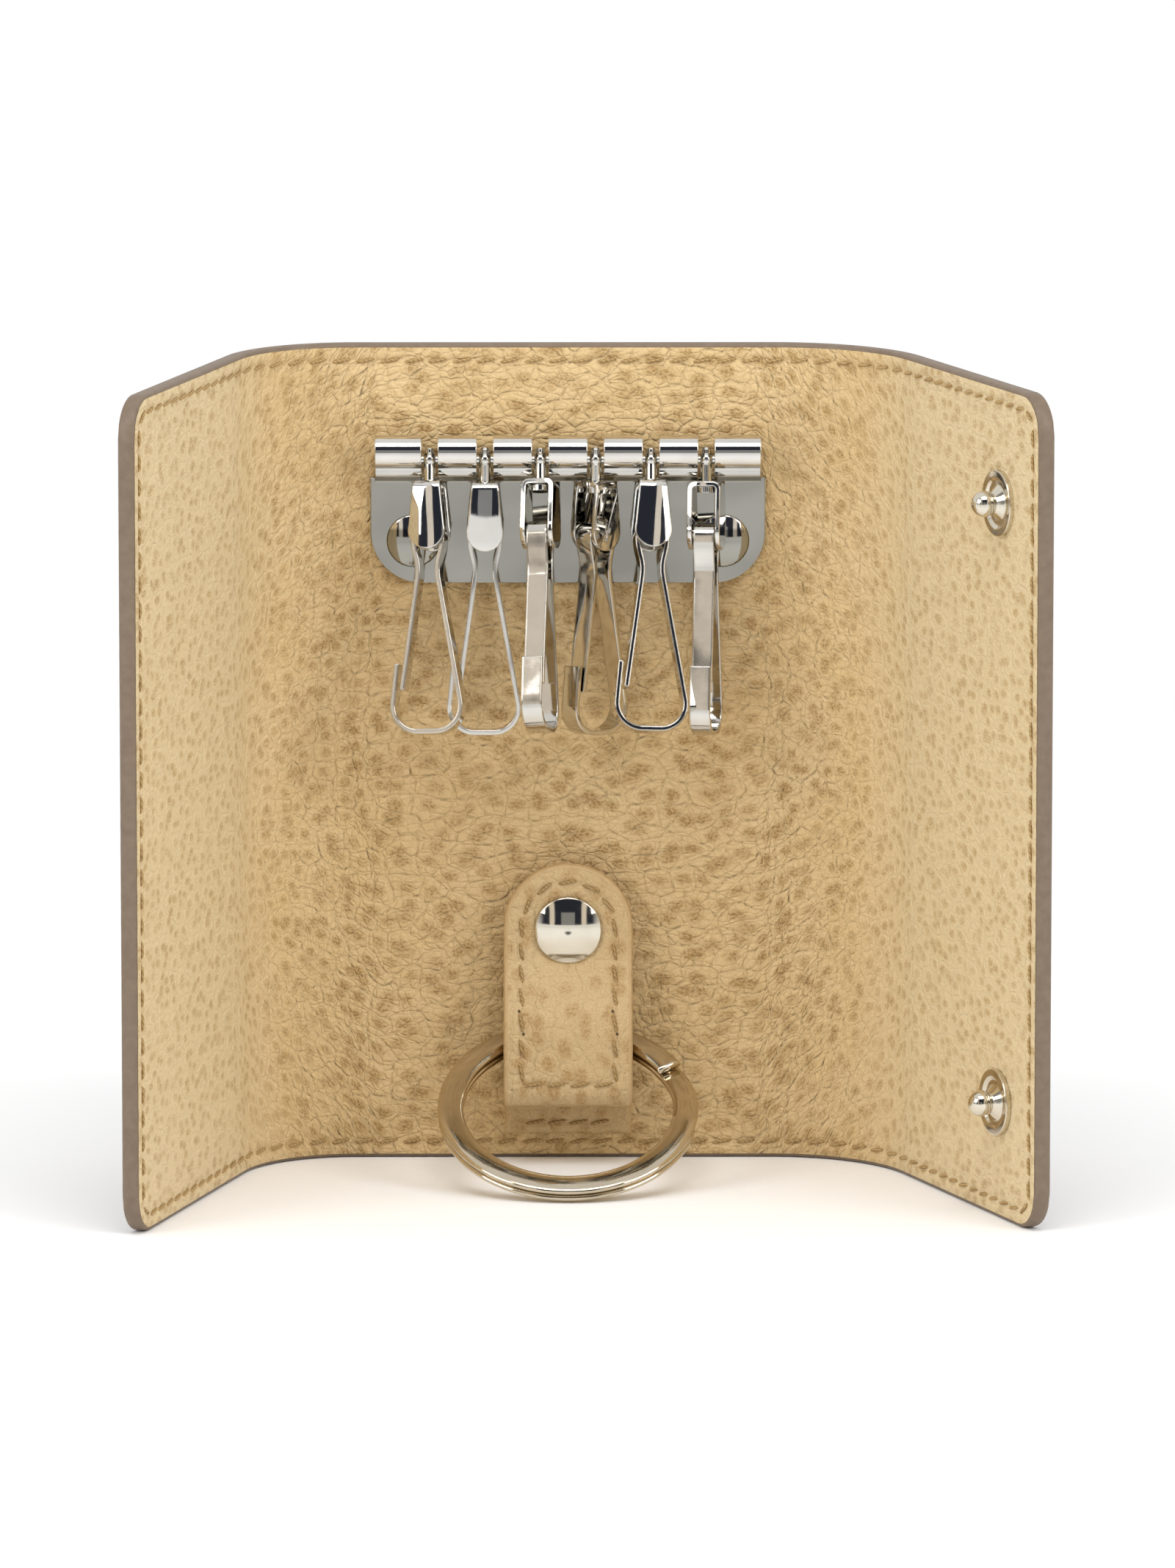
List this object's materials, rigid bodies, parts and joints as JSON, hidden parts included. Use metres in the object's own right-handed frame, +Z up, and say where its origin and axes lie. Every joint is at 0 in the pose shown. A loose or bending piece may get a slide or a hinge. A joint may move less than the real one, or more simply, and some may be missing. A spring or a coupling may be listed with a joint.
{
  "type": "key case",
  "caption": "Three-fold leather key case standing open: hook rail with swivelling spring clips, snap strap with a split ring, and ball-stud snaps that close the flaps.",
  "frame": {"origin": "foot of the middle panel, under its lining, midway along the key rail", "axes": "X across the open case to the viewer's right, -Y out of the lining towards the viewer, Z up"},
  "size_m": [0.1155, 0.0519, 0.105],
  "materials": {
    "lining_leather": "beige natural-grain lining leather, semi-matt",
    "cover_leather": "taupe grained cover leather, semi-matt",
    "strap_leather": "beige natural-grain leather, semi-matt",
    "stiffening_card": null,
    "snap_metal": "bright nickel plate",
    "ring_steel": "bright nickel-plated spring steel",
    "clip_steel": "bright nickel-plated spring steel",
    "hood_metal": "polished nickel plate",
    "pin_metal": "bright nickel plate",
    "rail_metal": "polished nickel plate"
  },
  "bodies": {
    "panel": {"lining_panel": "lining_leather", "board_panel": "stiffening_card", "cover_panel": "cover_leather", "key_rail": "rail_metal", "rail_rod": "pin_metal", "rail_rivets": "rail_metal", "panel_stud": "snap_metal", "strap_root": "strap_leather"},
    "left_spine": {"lining_left_fold": "lining_leather", "cover_left_fold": "cover_leather"},
    "left_flap": {"lining_left_flap": "lining_leather", "board_left_flap": "stiffening_card", "cover_left_flap": "cover_leather", "flap_sockets": "snap_metal", "socket_washers": "snap_metal"},
    "right_spine": {"lining_right_fold": "lining_leather", "cover_right_fold": "cover_leather"},
    "right_flap": {"lining_right_flap": "lining_leather", "board_right_flap": "stiffening_card", "cover_right_flap": "cover_leather", "flap_studs": "snap_metal", "stud_washers": "snap_metal"},
    "strap": {"strap_fold": "strap_leather", "strap_back": "strap_leather", "strap_front": "strap_leather", "strap_cap": "snap_metal", "strap_socket": "snap_metal"},
    "ring": {"split_ring": "ring_steel"},
    "hook_1": {"hook_post_1": "pin_metal"},
    "clip_1": {"hook_hood_1": "hood_metal", "hook_clip_1": "clip_steel"},
    "hook_2": {"hook_post_2": "pin_metal"},
    "clip_2": {"hook_hood_2": "hood_metal", "hook_clip_2": "clip_steel"},
    "hook_3": {"hook_post_3": "pin_metal"},
    "clip_3": {"hook_hood_3": "hood_metal", "hook_clip_3": "clip_steel"},
    "hook_4": {"hook_post_4": "pin_metal"},
    "clip_4": {"hook_hood_4": "hood_metal", "hook_clip_4": "clip_steel"},
    "hook_5": {"hook_post_5": "pin_metal"},
    "clip_5": {"hook_hood_5": "hood_metal", "hook_clip_5": "clip_steel"},
    "hook_6": {"hook_post_6": "pin_metal"},
    "clip_6": {"hook_hood_6": "hood_metal", "hook_clip_6": "clip_steel"}
  },
  "joints": [
    {"name": "left_spine_fold", "type": "hinge", "parent": "panel", "child": "left_spine", "pos_m": [-0.0269, 0, 0], "axis": [0, 0, 1], "range_deg": [-36.25, 53.75], "deforming": ["lining_left_fold", "cover_left_fold"]},
    {"name": "left_flap_fold", "type": "hinge", "parent": "left_spine", "child": "left_flap", "pos_m": [-0.04102, -0.01035, 0], "axis": [0, 0, 1], "range_deg": [-36.25, 53.75], "deforming": ["lining_left_fold", "cover_left_fold"]},
    {"name": "right_spine_fold", "type": "hinge", "parent": "panel", "child": "right_spine", "pos_m": [0.0258, 0, 0], "axis": [0, 0, -1], "range_deg": [-33.65, 53.5], "deforming": ["lining_right_fold", "cover_right_fold"]},
    {"name": "right_flap_fold", "type": "hinge", "parent": "right_spine", "child": "right_flap", "pos_m": [0.04259, -0.01118, 0], "axis": [0, 0, -1], "range_deg": [-33.65, 53.5], "deforming": ["lining_right_fold", "cover_right_fold"]},
    {"name": "hook_swing_1", "type": "hinge", "parent": "panel", "child": "hook_1", "pos_m": [-0.0175, -0.0033, 0.0907], "axis": [1, 0, 0], "range_deg": [-100, 3]},
    {"name": "hook_swing_2", "type": "hinge", "parent": "panel", "child": "hook_2", "pos_m": [-0.0105, -0.0033, 0.0907], "axis": [1, 0, 0], "range_deg": [-100, 3]},
    {"name": "hook_swing_3", "type": "hinge", "parent": "panel", "child": "hook_3", "pos_m": [-0.0035, -0.0033, 0.0907], "axis": [1, 0, 0], "range_deg": [-100, 16]},
    {"name": "hook_swing_4", "type": "hinge", "parent": "panel", "child": "hook_4", "pos_m": [0.0035, -0.0033, 0.0907], "axis": [1, 0, 0], "range_deg": [-100, 1]},
    {"name": "hook_swing_5", "type": "hinge", "parent": "panel", "child": "hook_5", "pos_m": [0.0105, -0.0033, 0.0907], "axis": [1, 0, 0], "range_deg": [-100, 1]},
    {"name": "hook_swing_6", "type": "hinge", "parent": "panel", "child": "hook_6", "pos_m": [0.0175, -0.0033, 0.0907], "axis": [1, 0, 0], "range_deg": [-100, 3]},
    {"name": "hook_swivel_1", "type": "hinge", "parent": "hook_1", "child": "clip_1", "pos_m": [-0.0175, -0.0033, 0.0907], "axis": [0, 0.2588, 0.9659], "continuous": true},
    {"name": "hook_swivel_2", "type": "hinge", "parent": "hook_2", "child": "clip_2", "pos_m": [-0.0105, -0.0033, 0.0907], "axis": [0, 0.0698, 0.9976], "continuous": true},
    {"name": "hook_swivel_3", "type": "hinge", "parent": "hook_3", "child": "clip_3", "pos_m": [-0.0035, -0.0033, 0.0907], "axis": [0, 0.3338, 0.9426], "continuous": true},
    {"name": "hook_swivel_4", "type": "hinge", "parent": "hook_4", "child": "clip_4", "pos_m": [0.0035, -0.0033, 0.0907], "axis": [0, 0.0698, 0.9976], "continuous": true},
    {"name": "hook_swivel_5", "type": "hinge", "parent": "hook_5", "child": "clip_5", "pos_m": [0.0105, -0.0033, 0.0907], "axis": [0, 0.3173, 0.9483], "continuous": true},
    {"name": "hook_swivel_6", "type": "hinge", "parent": "hook_6", "child": "clip_6", "pos_m": [0.0175, -0.0033, 0.0907], "axis": [0, 0.1132, 0.9936], "continuous": true},
    {"name": "strap_open", "type": "hinge", "parent": "panel", "child": "strap", "pos_m": [0, -0.006, 0.01055], "axis": [-1, 0, 0], "range_deg": [-74, 0], "deforming": ["strap_fold"]},
    {"name": "ring_swing", "type": "hinge", "parent": "panel", "child": "ring", "pos_m": [0, -0.00229, 0.01662], "axis": [1, 0, 0], "range_deg": [-25, 52]}
  ],
  "couplings": [
    {"joint": "hook_swing_1", "follows": "hook_swing_2", "ratio": 1},
    {"joint": "hook_swing_5", "follows": "hook_swing_4", "ratio": 1}
  ]
}
